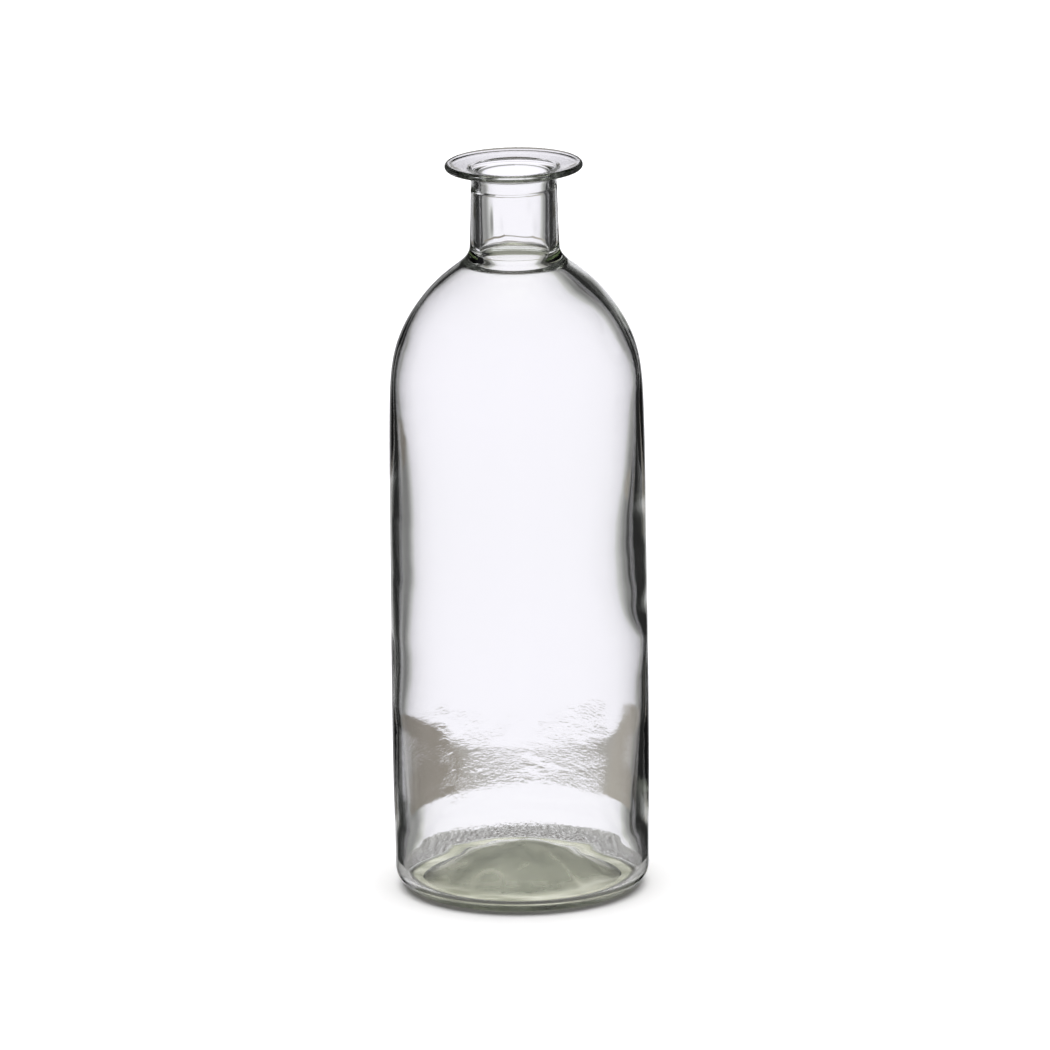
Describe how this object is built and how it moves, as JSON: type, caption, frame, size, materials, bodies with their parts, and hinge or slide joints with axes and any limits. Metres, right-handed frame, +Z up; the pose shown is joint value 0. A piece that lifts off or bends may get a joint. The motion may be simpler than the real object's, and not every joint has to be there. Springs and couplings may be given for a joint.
{
  "type": "bottle vase",
  "caption": "Clear glass bottle vase: tall near-straight body, round shoulder, short neck, wide flat flanged lip and a pushed-up bottom.",
  "frame": {"origin": "centre of the bearing ring, on the plane the vase stands on", "axes": "+Z up along the vase's own axis, towards the mouth; +X and +Y level, and the vase is the same all round"},
  "size_m": [0.0694, 0.0694, 0.2],
  "materials": {
    "clear_glass": "clear soda-lime glass, faint grey-green in thick places, fire-polished lip, slightly wavy surface"
  },
  "bodies": {
    "root": {"base": "clear_glass", "body_wall": "clear_glass", "shoulder": "clear_glass", "neck": "clear_glass", "lip_flange": "clear_glass"}
  },
  "joints": []
}
